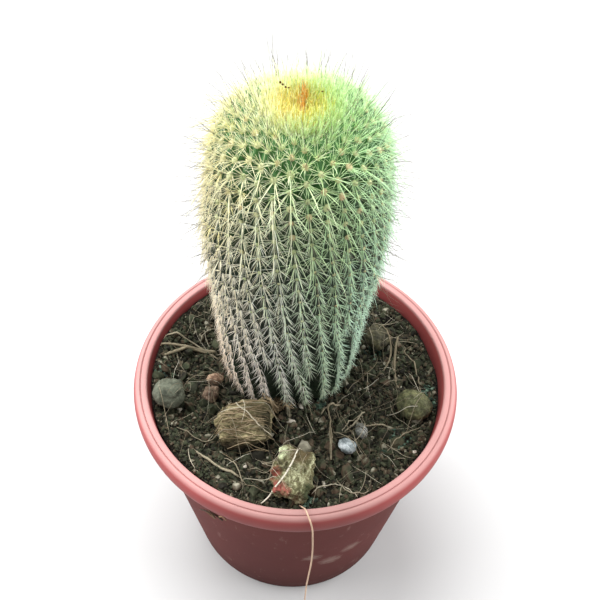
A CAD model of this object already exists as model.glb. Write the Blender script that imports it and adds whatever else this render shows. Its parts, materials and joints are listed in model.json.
"""Looks of the potted lemon ball cactus: skin, wool, spines, gritty soil, loose bits and pot.

Sizes are in metres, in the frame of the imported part: +Z up, the viewer on the -Y side.
"""

import bpy
import bmesh
import json
import numpy as np
from math import cos, hypot, pi, radians, sin, sqrt, tau
from mathutils import Matrix, Vector, noise
from mathutils.bvhtree import BVHTree

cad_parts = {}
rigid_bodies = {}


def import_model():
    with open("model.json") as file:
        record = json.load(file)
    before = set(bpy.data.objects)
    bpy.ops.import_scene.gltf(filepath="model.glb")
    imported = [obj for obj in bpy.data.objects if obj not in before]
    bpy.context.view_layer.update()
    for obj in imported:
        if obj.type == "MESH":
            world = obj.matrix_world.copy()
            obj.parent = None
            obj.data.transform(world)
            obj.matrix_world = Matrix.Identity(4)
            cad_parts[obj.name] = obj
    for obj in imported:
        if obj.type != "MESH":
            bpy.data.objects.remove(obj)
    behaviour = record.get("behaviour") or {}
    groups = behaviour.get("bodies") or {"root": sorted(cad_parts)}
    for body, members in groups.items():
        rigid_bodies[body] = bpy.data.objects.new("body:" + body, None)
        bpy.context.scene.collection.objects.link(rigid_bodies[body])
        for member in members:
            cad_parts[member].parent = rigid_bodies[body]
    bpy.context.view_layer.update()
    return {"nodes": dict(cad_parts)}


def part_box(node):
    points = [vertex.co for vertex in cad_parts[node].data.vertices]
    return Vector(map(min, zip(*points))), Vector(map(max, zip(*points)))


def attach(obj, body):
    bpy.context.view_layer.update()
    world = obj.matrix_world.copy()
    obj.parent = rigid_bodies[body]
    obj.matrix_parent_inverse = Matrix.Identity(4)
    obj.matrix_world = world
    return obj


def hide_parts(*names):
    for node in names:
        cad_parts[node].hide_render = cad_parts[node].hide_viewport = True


MM = 0.001
UP = Vector((0.0, 0.0, 1.0))

# The turn between one seed and the next in a natural spiral, and the same idea as a share
GOLDEN_ANGLE = pi * (3.0 - sqrt(5.0))
GOLDEN_SHARE = 0.618

# Camera: its distance and elevation from the middle of the pot's rim, and how it is turned
CAMERA_DISTANCE = 213.3 * MM
CAMERA_ELEVATION = radians(55.1)
CAMERA_PITCH = radians(5.05)
CAMERA_YAW = radians(0.10)
CAMERA_ROLL = radians(1.99)
CAMERA_LENS = 48.0
CAMERA_SENSOR = 36.0

# Lights: name, place, size and power
LIGHTS = (("window", (-0.10, 0.18, 0.63), 0.45, 5.2), ("left", (-0.46, 0.02, 0.28), 0.5, 3.5),
          ("right", (0.44, 0.04, 0.28), 0.5, 3.4))
WORLD_STRENGTH = 0.46
FLOOR_HALF = 1.6
FLOOR_GREY = (0.54, 0.54, 0.54, 1.0)

# Pot, as in the part
POT_HEIGHT = 72.0 * MM
RIM_RADIUS = 43.0 * MM
RIM_WIDEST_BELOW_LIP = 3.1 * MM
LIP_INNER_RADIUS = 39.3 * MM
GROOVE_RADIUS = 40.9 * MM
GROOVE_SIZE = 0.35 * MM
BAND_DEPTH = 6.9 * MM
BAND_FOOT_RADIUS = 41.9 * MM
BAND_THICKNESS = 1.2 * MM
BAND_HOLLOW_TOP = 2.4 * MM
WALL = 1.4 * MM
FOOT_RADIUS = 31.2 * MM
FOOT_ROUND = 0.6 * MM
FOOT_RING_WIDTH = 2.6 * MM
FOOT_RING_HEIGHT = 1.2 * MM
FOOT_RING_SLOPE = 0.3 * MM
FLOOR_THICKNESS = 1.5 * MM
DRAIN_HOLES = 5
DRAIN_RADIUS = 3.0 * MM
DRAIN_CIRCLE = 18.0 * MM
POT_STEPS = 180
RIM_STEPS = 10
WALL_STEPS = 12

# Grey scuffs on the wall below the camera: place and reach in mm
WALL_SMUDGES_MM = (((6.2, -35.0, 32.6), 6.0), ((11.5, -32.7, 26.0), 8.0), ((17.0, -31.0, 32.0), 7.0))
# Grime that dulls the front of the lip and band
LIP_GRIME_PLACE = Vector((4.0, -41.0, 70.0)) * MM
LIP_GRIME_REACH = 34.0 * MM
LIP_GRIME = (0.78, 0.83, 0.81, 1.0)

# Soil, as in the part
SOIL_LEVEL = POT_HEIGHT - 7.0 * MM
STEM_HOLE_MARGIN = 1.9 * MM

# Stem, as in the part
STEM_FOOT = Vector((-2.6 * MM, 8.5 * MM, SOIL_LEVEL))
LEAN_TO_VIEWER = radians(1.55)
LEAN_TO_RIGHT = radians(1.4)
STEM_OUTLINE_MM = ((-4.0, 14.7), (0.0, 15.9), (5.0, 17.1), (11.0, 17.8), (20.0, 18.3),
                   (34.0, 19.3), (50.0, 20.6), (62.0, 20.4), (74.0, 18.7))
STEM_FOOT_RADIUS = STEM_OUTLINE_MM[1][1] * MM
STEM_WIDEST_RADIUS = STEM_OUTLINE_MM[6][1] * MM
DOME_FOOT = 74.0 * MM
DOME_RADIUS = 18.7 * MM
DOME_HEIGHT = 13.4 * MM
DOME_SQUARENESS = 0.63
DIMPLE_RADIUS = 6.6 * MM
DIMPLE_DEPTH = 2.2 * MM
DOME_END = 0.985
OLD_RIBS = 22
RIBS_PER_GROUP = 3
RIB_COUNT = OLD_RIBS * RIBS_PER_GROUP // (RIBS_PER_GROUP - 1)
RIB_DEPTH = 1.9 * MM
RIB_FULL_RADIUS = 0.8 * DOME_RADIUS
RIB_FADE_BELOW = -4.0 * MM
RIB_FULL_ABOVE = 1.0 * MM
RIB_SEED_WIDTH = 0.14
RIB_SPLIT_START = 12.0 * MM
RIB_SPLIT_SPREAD = 20.0 * MM
RIB_SPLIT_LENGTH = 18.0 * MM
RIB_TURN = radians(-94.0)
RIB_TWIST = radians(-0.36) / MM

# Skin mesh: rings up the side and over the dome, and points across each rib
SKIN_SIDE_RINGS = 130
SKIN_DOME_RINGS = 36
SKIN_POINTS_PER_RIB = 8
SKIN_BURIED = 4.0 * MM
PROFILE_STEP = 0.01

# Areoles: the spacing in mm along a rib, by the distance in mm from the soil
FIRST_AREOLE = 2.6 * MM
AREOLE_SPACING = ((0, 2.6), (20, 3.0), (40, 3.5), (60, 3.8), (74, 3.4), (86, 3.2), (94, 2.8), (100, 2.2))
AREOLE_LAST_RADIUS = 7.4 * MM
RIB_BARE_BELOW = 0.42

# Spines and wool by the distance in mm along a rib from the soil: count, length, width or size in mm,
# lift off the skin, fan and spread in degrees, and how far a spine wanders from its way
RADIAL_COUNT = ((0, 10), (30, 10), (50, 12), (66, 15), (76, 20), (84, 22), (90, 24), (100, 24))
RADIAL_LENGTH = ((0, 3.2), (20, 3.6), (45, 3.5), (70, 3.8), (84, 4.0), (92, 3.0), (100, 2.6))
RADIAL_WIDTH = ((0, 0.17), (40, 0.16), (70, 0.15), (100, 0.14))
RADIAL_LIFT = ((0, 34), (20, 33), (50, 28), (70, 26), (80, 32), (86, 44), (92, 58), (100, 66))
RADIAL_FAN = ((0, 56), (20, 60), (40, 74), (60, 104), (76, 140), (86, 175), (100, 180))
CENTRAL_COUNT = ((0, 2), (20, 2.4), (60, 2.7), (80, 3), (90, 2), (100, 2))
CENTRAL_LENGTH = ((0, 4.2), (20, 5.8), (44, 7.4), (66, 9.4), (82, 10.0), (90, 6.0), (100, 4.0))
CENTRAL_LIFT = ((0, 26), (20, 22), (45, 19), (66, 22), (80, 32), (90, 56), (100, 74))
CENTRAL_SPREAD = ((0, 6), (25, 9), (50, 14), (70, 18), (84, 28), (100, 90))
WOOL_SIZE = ((0, 0.3), (40, 0.5), (58, 0.65), (68, 0.9), (76, 1.2), (84, 1.3), (92, 1.1), (100, 0.8))
WANDER = ((0, 0.06), (40, 0.09), (66, 0.13), (80, 0.20), (100, 0.24))
ZONE_SHARE = ((0, 0.03), (12, 0.14), (30, 0.28), (50, 0.38), (70, 0.48), (84, 0.57), (94, 0.64))
SPINE_SUNK = 0.35 * MM
RADIAL_RING = 0.25 * MM
BARE_FOOT_UP_TO = 6.0 * MM
BARE_FOOT_LEFT = 3.0 * MM
BARE_FOOT_RIGHT = 9.5 * MM
UPRIGHT_FROM = 79.0
UPRIGHT_TO = 94.0
UPRIGHT_SHARE = 0.62
CENTRAL_WIDTH = 0.20 * MM
HAIR_WIDTH = 0.11 * MM
HAIR_LENGTH = 9.6 * MM
HAIRS_FROM = 44.0
HAIRS_PER_AREOLE = 1.6
HONEY_CHANCE = 0.16
HONEY_FROM = 58.0
HONEY_SIDE = 0.4
FUZZ_FROM = 56.0 * MM
FUZZ_FIBRES = 14
FUZZ_WIDTH = 0.10 * MM

# Fine bristles that stand all over the dome, thinning out towards its shoulder
DOME_BRISTLES = 5200
DOME_BRISTLE_REACH = 17.0 * MM
DOME_BRISTLE_THIN = 6.0 * MM
DOME_BRISTLE_MISSING = 0.88
DOME_BRISTLE_LENGTH = 3.0 * MM
DOME_BRISTLE_WIDTH = 0.12 * MM

# Crown tuft
CROWN_BRISTLES = 1300
CROWN_REACH = 8.0 * MM
CROWN_BRISTLE_LENGTH = 3.7 * MM
CROWN_BRISTLE_WIDTH = 0.15 * MM
CROWN_LEAN_IN = 0.12
CROWN_SPREAD = 0.30
CROWN_ORANGE_HALF_WIDTH = 1.0 * MM
CROWN_ORANGE_HALF_DEPTH = 3.6 * MM
CROWN_ORANGE_BACK = 1.8 * MM
CROWN_GOLD_RADIUS = 5.2 * MM
CROWN_SPECKS_MM = ((-4.6, 3.2), (-4.1, 2.8), (-3.5, 2.4), (-2.9, 2.5), (3.6, 1.8))
CROWN_SPECK_SIZE = 0.55 * MM

# Colours of the spines by zone, from the soil to the crown's middle
SPINE_ZONES = ((242, 236, 232), (246, 244, 242), (245, 247, 242), (243, 248, 236), (242, 248, 220),
               (244, 251, 214), (247, 249, 196), (244, 226, 128), (250, 172, 74))
PALE_ROW = 0.6
LEMON_ROW = 0.72
GOLD_ROW = 0.83
ORANGE_ROW = 0.95
# Tints from the left side to the right
SPINE_TINTS = ((255, 238, 214), (255, 244, 230), (255, 247, 236), (252, 252, 246), (234, 247, 226),
               (214, 238, 206), (208, 236, 208), (202, 234, 212))
ZONES = len(SPINE_ZONES)
TINTS = len(SPINE_TINTS)

# Soil surface
GROUND_RINGS = 64
GROUND_STEPS = 260
CRUMB_SIZE = 1.9 * MM
CRUMB_HEIGHT = 0.45 * MM
GRAIN_SHOWING = 0.3

# Scattered grains: name, count, smallest and largest size in mm, seed and fineness of the ball
GRAINS = (("grains_1", 7500, 0.4, 1.8, 1, 1), ("grains_2", 7500, 0.4, 1.8, 2, 1),
          ("lumps", 300, 1.8, 3.8, 3, 2))

# Bits of blue-green moss: place on the soil in mm and how far they are strewn
MOSS_SPOTS = ((34.6, -1.5, 2.6), (36.4, -5.6, 2.0), (21.8, 13.6, 2.8), (3.6, -34.6, 2.6), (-36.0, -1.0, 3.0),
              (6.5, -7.5, 1.8), (27.0, -16.0, 3.4))
MOSS_BITS_PER_SPOT = 26

# Pale chips that the photograph shows: place on the soil, length and width in mm, turn in degrees
CHIPS = ((1.4, -8.4, 2.2, 1.1, -52.0), (-1.1, -12.8, 3.0, 1.4, -8.0), (-12.0, -25.1, 1.3, 0.9, 40.0),
         (7.9, -29.6, 2.2, 0.7, -60.0), (30.6, -20.4, 1.4, 1.0, 10.0), (11.6, -21.4, 1.5, 0.9, 80.0),
         (-30.4, -9.5, 1.6, 1.0, 30.0))

# Ragged spots of the chunks: colour, place as shares of the chunk's box and reach in mm
HUSK_SPOTS = [((38, 36, 26), (1.05, 0.5, 0.9), 6.4)]
HUSK_SPOTS += [((46, 40, 30), (across, 0.0, 0.1), 4.4) for across in (0.1, 0.35, 0.6, 0.85)]
HUSK_TORN_CORNERS = ((1.0, 0.1, 1.0), (0.0, 1.0, 1.0), (0.35, 0.0, 0.9))
BARK_SPOTS = (((96, 82, 58), (0.62, 0.8, 1.0), 3.6), ((208, 218, 176), (0.18, 0.85, 1.0), 2.6),
              ((124, 54, 50), (0.1, 0.5, 0.6), 2.6), ((152, 80, 74), (0.15, 0.1, 0.8), 3.8),
              ((44, 54, 32), (1.0, 0.1, 0.5), 5.2))

# Stones: node, new name, slot, and dark, middle and light colour
STONES = (
    ("pebble_grey", "stone_grey", "pebble", ((58, 62, 52), (88, 92, 78), (112, 116, 100))),
    ("pebble_pale", "stone_pale", "pebble", ((84, 92, 94), (134, 144, 146), (206, 214, 216))),
    ("pebble_chip", "stone_chip", "pebble", ((80, 82, 78), (118, 120, 114), (182, 184, 178))),
    ("pebble_brown", "stone_brown", "pebble", ((58, 46, 38), (100, 80, 66), (176, 154, 130))),
    ("pebble_tan", "stone_tan", "pebble", ((66, 50, 42), (112, 86, 68), (184, 160, 134))),
    ("clod_right", "lump_right", "gritty_mix", ((48, 48, 34), (80, 82, 56), (118, 118, 82))),
    ("clod_back", "lump_back", "gritty_mix", ((40, 38, 30), (66, 64, 48), (96, 92, 66))),
    ("pebble_back", "stone_back", "pebble", ((50, 56, 56), (74, 82, 84), (104, 112, 112))),
)
ROUNDING_LEVELS = 3

# Stalks, as in the part: name, start, middle and end on the soil in mm, thickness and tone
STRAWS = (
    ("straw_front", (1.6, -21.5), (-1.4, -30.0), (-7.6, -36.6), 0.42, 0.97),
    ("straw_left", (-26.4, -21.6), (-20.0, -25.4), (-13.4, -28.8), 0.65, 0.66),
    ("straw_right", (28.4, 15.8), (27.2, 7.0), (28.0, -1.0), 0.8, 0.45),
    ("straw_back", (-36.0, 5.4), (-30.0, 9.4), (-23.0, 11.2), 1.1, 0.55),
    ("straw_stem", (9.2, -11.4), (9.4, -16.0), (9.6, -22.6), 0.6, 0.6),
)

# More stalks and fibres that the photograph shows, in the same form
FIBRES = (
    ((-17.9, -6.5), (-12.6, -13.6), (-5.5, -19.2), 0.35, 0.8),
    ((-39.5, 8.2), (-32.0, 9.2), (-24.3, 10.2), 0.8, 0.55),
    ((-38.0, 11.0), (-31.0, 12.0), (-22.0, 9.0), 0.5, 0.66),
    ((6.7, -9.8), (9.6, -7.6), (12.5, -5.8), 0.6, 0.6),
    ((8.5, -7.5), (9.6, -14.0), (9.3, -21.5), 0.45, 0.5),
    ((13.2, -14.6), (15.6, -11.8), (18.6, -8.3), 0.5, 0.72),
    ((12.4, -15.2), (15.0, -11.2), (18.0, -9.6), 0.3, 0.7),
    ((18.0, -13.0), (22.0, -12.0), (26.0, -12.6), 0.5, 0.6),
    ((5.0, -33.0), (11.0, -30.0), (16.0, -34.0), 0.3, 0.85),
    ((11.0, -28.0), (15.0, -33.0), (20.0, -30.0), 0.25, 0.75),
    ((-30.0, -16.0), (-22.0, -19.0), (-14.0, -17.0), 0.25, 0.6),
    ((-8.0, -24.0), (-4.0, -25.0), (2.0, -24.0), 0.3, 0.78),
    ((-20.0, -22.0), (-14.0, -26.0), (-12.0, -34.0), 0.28, 0.66),
    ((22.0, 4.0), (26.0, 10.0), (24.0, 19.0), 0.5, 0.5),
    ((30.0, 12.0), (33.0, 4.0), (33.5, -3.0), 0.4, 0.55),
    ((24.0, -20.0), (29.0, -15.0), (34.0, -12.0), 0.25, 0.6),
)
STALK_STIFFNESS = 6
ROOTLETS = 330
ROOTLET_STEP = 0.95 * MM
ROOTLET_SHORTEST = 4

# Loose fibres of the husk: along it, off its left end, and curled at its back right corner
HUSK_FIBRES = 80
HUSK_CURLS = 56

# A dry root that grew out over the pot's rim, as points in mm: it lies on the lip and hangs down
RIM_ROOT_MM = ((1.8, -35.6, 66.4), (2.6, -37.6, 69.4), (3.2, -39.4, 72.3), (3.8, -40.8, 72.5),
               (4.5, -42.3, 71.9), (5.1, -43.3, 69.4), (5.3, -43.6, 65.4), (5.5, -43.9, 59.0),
               (5.4, -44.0, 51.0), (5.0, -44.0, 43.0), (4.7, -44.0, 36.0), (4.6, -43.9, 28.0),
               (4.5, -43.8, 21.0), (4.9, -43.7, 14.0))
RIM_ROOT_WIDTH = 0.42 * MM

# Withered scraps under the rim's band: turn from the front in degrees, radius and height in mm
RIM_SCRAPS = (
    ((-32.0, 42.2, 62.6), (-29.0, 42.7, 65.2), (-25.5, 42.7, 65.8), (-23.0, 42.4, 64.0), (-24.6, 41.9, 62.6)),
    ((-27.6, 42.7, 66.6), (-25.8, 42.5, 63.4), (-27.6, 41.6, 61.0), (-31.0, 41.2, 60.6)),
    ((-24.0, 42.6, 65.4), (-22.6, 42.7, 66.8), (-21.6, 42.5, 65.0)),
)
RIM_SCRAP_WIDTH = 0.45 * MM


# Curves and tables

def smoothstep(low, high, value):
    t = min(max((value - low) / (high - low), 0.0), 1.0)
    return t * t * (3.0 - 2.0 * t)


def smooth_curve(points, value):
    """A smooth curve through (position, height) points, read at one position."""
    last = len(points) - 1
    index = 0
    while index < last - 1 and value > points[index + 1][0]:
        index += 1
    before = points[max(index - 1, 0)]
    start = points[index]
    end = points[index + 1]
    after = points[min(index + 2, last)]
    span = end[0] - start[0]
    slope_in = (end[1] - before[1]) / (end[0] - before[0]) * span
    slope_out = (after[1] - start[1]) / (after[0] - start[0]) * span
    t = (value - start[0]) / span
    return ((2 * t**3 - 3 * t**2 + 1) * start[1] + (t**3 - 2 * t**2 + t) * slope_in
            + (3 * t**2 - 2 * t**3) * end[1] + (t**3 - t**2) * slope_out)


def stage_value(stages, along):
    """A value between (distance in mm, value) stages."""
    return float(np.interp(along / MM, [s[0] for s in stages], [s[1] for s in stages]))


def layered_noise(place, size, stretch=(1.0, 1.0, 1.0)):
    """Noise with three sizes of lump, the largest of which is size."""
    scaled = Vector([axis * along / size for axis, along in zip(place, stretch)])
    return noise.noise(scaled) + 0.5 * noise.noise(scaled * 2.1) + 0.25 * noise.noise(scaled * 4.3)


# Materials

def linear(tone):
    """A grey level, or a display colour of 0 to 255, as shaders take it. A linear colour stays."""
    if not isinstance(tone, tuple):
        return (tone, tone, tone, 1.0)
    if len(tone) == 4:
        return tone
    shares = [channel / 255.0 for channel in tone]
    return (*[c / 12.92 if c <= 0.04045 else ((c + 0.055) / 1.055)**2.4 for c in shares], 1.0)


class Paint:
    """A material's node tree, with short names for the nodes that this script uses."""

    def __init__(self, name, roughness, specular):
        self.material = bpy.data.materials.new(name)
        self.material.use_nodes = True
        self.tree = self.material.node_tree
        self.shader = self.tree.nodes["Principled BSDF"]
        self.shader.inputs["Roughness"].default_value = roughness
        self.shader.inputs["Specular IOR Level"].default_value = specular

    def put(self, socket, value):
        if isinstance(value, bpy.types.NodeSocket):
            self.tree.links.new(value, socket)
        else:
            socket.default_value = value

    def node(self, kind, inputs, output=0, **settings):
        """Makes a node, fills its inputs and gives one of its outputs."""
        made = self.tree.nodes.new("ShaderNode" + kind)
        for key, value in settings.items():
            setattr(made, key, value)
        for name, value in inputs.items():
            self.put(made.inputs[name], value)
        return made.outputs[output]

    def place(self):
        return self.node("TexCoord", {}, "Object")

    def palette(self):
        return self.node("UVMap", {}, "UV", uv_map="OFBake")

    def axis(self, vector, name):
        return self.node("SeparateXYZ", {"Vector": vector}, name)

    def math(self, operation, first, second=0.0):
        return self.node("Math", {0: first, 1: second}, operation=operation)

    def plus(self, first, second):
        return self.math('ADD', first, second)

    def times(self, first, second):
        return self.math('MULTIPLY', first, second)

    def far(self, place, spot, reach):
        """Distance from a spot, as a share of a reach."""
        away = self.node("VectorMath", {0: place, 1: spot}, "Value", operation='DISTANCE')
        return self.math('DIVIDE', away, reach)

    def wander(self, value, patches, amount):
        """A value that patches shift up and down."""
        return self.plus(value, self.times(self.math('SUBTRACT', patches, 0.5), amount))

    def noise(self, vector, scale, detail=4.0, roughness=0.55, distortion=0.0):
        return self.node("TexNoise", {"Vector": vector, "Scale": scale, "Detail": detail,
                                      "Roughness": roughness, "Distortion": distortion}, "Fac")

    def cells(self, vector, scale):
        return self.node("TexVoronoi", {"Vector": vector, "Scale": scale}, "Distance")

    def stretch(self, vector, scale):
        return self.node("Mapping", {"Vector": vector, "Scale": scale})

    def ramp(self, factor, stops, interpolation='LINEAR'):
        """A colour ramp. A stop is a position and a tone."""
        made = self.tree.nodes.new("ShaderNodeValToRGB")
        self.put(made.inputs["Fac"], factor)
        made.color_ramp.interpolation = interpolation
        elements = made.color_ramp.elements
        while len(elements) < len(stops):
            elements.new(0.5)
        for element, (position, tone) in zip(elements, stops):
            element.position = position
            element.color = linear(tone)
        return made.outputs["Color"]

    def steps(self, factor, tones):
        """A ramp of even steps, each of one plain tone."""
        return self.ramp(factor, [(i / len(tones), tone) for i, tone in enumerate(tones)], 'CONSTANT')

    def mix(self, factor, first, second, blend='MIX'):
        tones = [tone if isinstance(tone, bpy.types.NodeSocket) else linear(tone) for tone in (first, second)]
        return self.node("Mix", {0: factor, 6: tones[0], 7: tones[1]}, 2, data_type='RGBA', blend_type=blend)

    def shade(self, first, second, factor=1.0):
        return self.mix(factor, first, second, 'MULTIPLY')

    def bump(self, height, distance, strength, under=None):
        inputs = {"Height": height, "Distance": distance, "Strength": strength}
        if under is not None:
            inputs["Normal"] = under
        return self.node("Bump", inputs, "Normal")

    def finish(self, color, roughness=None, normal=None):
        for name, value in (("Base Color", color), ("Roughness", roughness), ("Normal", normal)):
            if value is not None:
                self.put(self.shader.inputs[name], value)
        return self.material


def skin_material():
    """Green skin: dull at the soil, darkest above it, fresher up the dome and straw-coloured in the bowl."""
    paint = Paint("cactus skin", roughness=0.5, specular=0.35)
    place = paint.place()
    top = SOIL_LEVEL + DOME_FOOT + DOME_HEIGHT
    rise = paint.node("MapRange", {"Value": paint.axis(place, "Z"), "From Min": SOIL_LEVEL, "From Max": top})
    rise = paint.wander(rise, paint.noise(place, 180.0, 5.0), 0.12)
    color = paint.ramp(rise, [(0.0, (72, 88, 66)), (0.08, (32, 48, 34)), (0.35, (17, 32, 21)),
                              (0.65, (23, 42, 21)), (0.86, (38, 68, 32)), (0.97, (62, 110, 54))])
    crown_middle = stem_matrix() @ (UP * (DOME_FOOT + DOME_HEIGHT))
    in_bowl = paint.ramp(paint.far(place, crown_middle, 2 * CROWN_REACH), [(0.30, 1.0), (0.55, 0.0)])
    color = paint.mix(in_bowl, color, (186, 168, 84))
    speckle = paint.ramp(paint.cells(place, 2400.0), [(0.05, 0.75), (0.5, 1.0)])
    wrinkles = paint.noise(paint.stretch(place, (1.0, 1.0, 0.35)), 420.0, 4.0)
    normal = paint.bump(paint.noise(place, 1500.0, 3.0), 0.15 * MM, 0.5)
    normal = paint.bump(wrinkles, 0.5 * MM, 0.6, normal)
    return paint.finish(paint.shade(color, speckle, 0.5), normal=normal)


def spine_material():
    """Colours by the palette map: a column for the tint and the way along, a row for the zone."""
    paint = Paint("spine", roughness=0.42, specular=0.3)
    palette = paint.palette()
    across = paint.axis(palette, "X")
    zone = paint.steps(paint.axis(palette, "Y"), SPINE_ZONES)
    tint = paint.steps(across, SPINE_TINTS)
    along = paint.math('FRACT', paint.times(across, float(TINTS)))
    shade = paint.ramp(along, [(0.1, 0.86), (0.3, 1.0), (0.7, 1.0), (0.9, 0.86)])
    return paint.finish(paint.shade(paint.shade(zone, tint), shade))


def hair_material():
    """The wispy hairs: duller at the root than at the tip."""
    paint = Paint("long hair", roughness=0.5, specular=0.2)
    along = paint.axis(paint.palette(), "X")
    return paint.finish(paint.ramp(along, [(0.1, (88, 88, 66)), (0.9, (124, 119, 104))]))


def wool_material():
    """Felted wool of the areoles, by the same palette map."""
    paint = Paint("areole wool", roughness=0.95, specular=0.1)
    palette = paint.palette()
    tone = paint.ramp(paint.axis(palette, "Y"), [(0.0, (178, 190, 140)), (0.35, (200, 204, 158)),
                                                 (0.7, (206, 198, 152)), (0.88, (208, 192, 152)),
                                                 (1.0, (208, 182, 144))])
    return paint.finish(paint.shade(tone, paint.ramp(paint.axis(palette, "X"), [(0.0, 0.6), (0.6, 1.0)])))


def grit_material():
    """Dark peat, olive moss, tan grit and grey stone, as patches of one palette map."""
    paint = Paint("grit", roughness=0.92, specular=0.25)
    palette = paint.palette()
    color = paint.ramp(paint.noise(palette, 7.0, 2.0, 0.4),
                       [(0.28, (31, 31, 26)), (0.40, (44, 42, 34)), (0.47, (52, 58, 41)),
                        (0.53, (68, 71, 53)), (0.59, (77, 62, 49)), (0.64, (104, 100, 82)),
                        (0.72, (174, 170, 152))])
    fine = paint.ramp(paint.noise(palette, 60.0, 3.0), [(0.3, 0.55), (0.7, 1.15)])
    return paint.finish(paint.shade(color, fine))


def ground_material():
    paint = Paint("gritty ground", roughness=0.95, specular=0.2)
    place = paint.place()
    color = paint.ramp(paint.noise(place, 120.0, 3.0),
                       [(0.3, (26, 24, 20)), (0.5, (42, 39, 31)), (0.62, (50, 54, 38)), (0.75, (64, 58, 45))])
    crumbs = paint.cells(place, 900.0)
    normal = paint.bump(paint.times(crumbs, -1.0), 1.2 * MM, 0.9)
    normal = paint.bump(paint.noise(place, 2600.0, 4.0), 0.3 * MM, 0.7, normal)
    return paint.finish(paint.shade(color, paint.ramp(crumbs, [(0.0, 1.1), (0.6, 0.5)])), normal=normal)


def stone_material(name, tones, speckle=0.5):
    """Mottled stone with fine pits. The tones are dark, middle and light."""
    paint = Paint(name, roughness=0.85, specular=0.3)
    place = paint.place()
    color = paint.ramp(paint.noise(place, 460.0, 7.0, 0.72), list(zip((0.34, 0.5, 0.66), tones)))
    grains = paint.ramp(paint.cells(place, 2600.0), [(0.1, 0.5), (0.4, 1.0)])
    normal = paint.bump(paint.noise(place, 1800.0, 5.0, 0.7), 0.35 * MM, 0.8)
    return paint.finish(paint.shade(color, grains, speckle), normal=normal)


def husk_material(name, tones, stretch, node, spots):
    """Torn plant fibre: fine strands along the piece, and ragged spots of other colours."""
    paint = Paint(name, roughness=0.9, specular=0.15)
    place = paint.place()
    strands = paint.noise(paint.stretch(place, stretch), 1500.0, 5.0, 0.65, 0.6)
    patches = paint.noise(place, 190.0, 4.0, 0.6)
    both = paint.plus(paint.times(strands, 0.62), paint.times(patches, 0.38))
    color = paint.ramp(both, list(zip((0.36, 0.5, 0.62), tones)))
    ragged = paint.ramp(strands, [(0.38, 0.3), (0.5, 0.9)])
    for tone, shares, reach in spots:
        near = paint.plus(paint.far(place, inside(node, shares), reach * MM), patches)
        amount = paint.ramp(paint.times(near, 0.5), [(0.52, 1.0), (0.68, 0.0)])
        color = paint.mix(paint.shade(amount, ragged), color, tone)
    return paint.finish(color, normal=paint.bump(strands, 0.5 * MM, 1.0))


def strand_material(name, tint):
    """Dry plant fibre from dark brown to pale straw, by the strand's tone."""
    paint = Paint(name, roughness=0.75, specular=0.25)
    palette = paint.palette()
    color = paint.ramp(paint.axis(palette, "Y"),
                       [(0.0, (46, 42, 36)), (0.25, (82, 76, 63)), (0.5, (122, 112, 90)),
                        (0.75, (168, 159, 136)), (0.9, (208, 201, 180)), (1.0, (240, 235, 220))])
    flecks = paint.noise(paint.stretch(palette, (9.0, 30.0, 1.0)), 3.0, 4.0)
    return paint.finish(paint.shade(paint.shade(color, tint), paint.ramp(flecks, [(0.35, 0.7), (0.6, 1.05)])))


def pot_material():
    """Thin moulded plastic: salmon at the rim, dulled and scuffed down the wall."""
    paint = Paint("pot plastic", roughness=0.45, specular=0.18)
    place = paint.place()
    mottle = paint.noise(place, 60.0, 5.0, 0.6)
    rise = paint.math('DIVIDE', paint.axis(place, "Z"), POT_HEIGHT)
    foot = 1.0 - BAND_DEPTH / POT_HEIGHT
    color = paint.ramp(paint.wander(rise, mottle, 0.08),
                       [(0.0, (80, 38, 35)), (0.35, (88, 40, 37)), (foot - 0.05, (92, 40, 36)),
                        (foot + 0.01, (126, 59, 57)), (1.0, (158, 75, 74))])
    color = paint.mix(paint.ramp(rise, [(0.986, 0.0), (0.998, 0.55)]), color, (206, 170, 166))
    for spot, reach in WALL_SMUDGES_MM:
        rough = paint.noise(paint.stretch(place, (1.0, 1.0, 2.0)), 420.0, 6.0, 0.7)
        torn = paint.plus(paint.far(place, Vector(spot) * MM, reach * MM), rough)
        color = paint.mix(paint.ramp(torn, [(0.62, 0.5), (1.0, 0.0)]), color, (150, 128, 118))
    grimy = paint.plus(paint.far(place, LIP_GRIME_PLACE, LIP_GRIME_REACH), paint.times(mottle, 1 / 3))
    grimy = paint.ramp(grimy, [(0.45, 1.0), (1.15, 0.0)])
    on_band = paint.ramp(rise, [(foot - 0.01, 0.0), (foot + 0.01, 1.0)])
    color = paint.shade(color, LIP_GRIME, paint.shade(grimy, on_band))
    color = paint.shade(color, paint.ramp(paint.noise(place, 34.0, 4.0, 0.5), [(0.35, 0.9), (0.65, 1.04)]))
    along = paint.stretch(place, (1.0, 1.0, 0.35))
    scuffs = paint.ramp(paint.noise(along, 380.0, 7.0, 0.72), [(0.60, 0.0), (0.72, 0.20)])
    below_band = paint.ramp(rise, [(foot - 0.02, 1.0), (foot, 0.25)])
    color = paint.mix(paint.shade(scuffs, below_band), color, (196, 160, 148))
    roughness = paint.mix(below_band, paint.ramp(mottle, [(0.3, 0.36), (0.7, 0.52)]), 0.78)
    normal = paint.bump(paint.noise(place, 900.0, 3.0), 0.06 * MM, 0.35)
    normal = paint.bump(paint.noise(along, 90.0, 3.0), 0.5 * MM, 0.25, normal)
    return paint.finish(color, roughness, normal)


# Meshes

def link_object(name, data, material=None):
    """Puts a mesh, light or camera in the scene."""
    if material:
        data.materials.append(material)
    piece = bpy.data.objects.new(name, data)
    bpy.context.scene.collection.objects.link(piece)
    return piece


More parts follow.
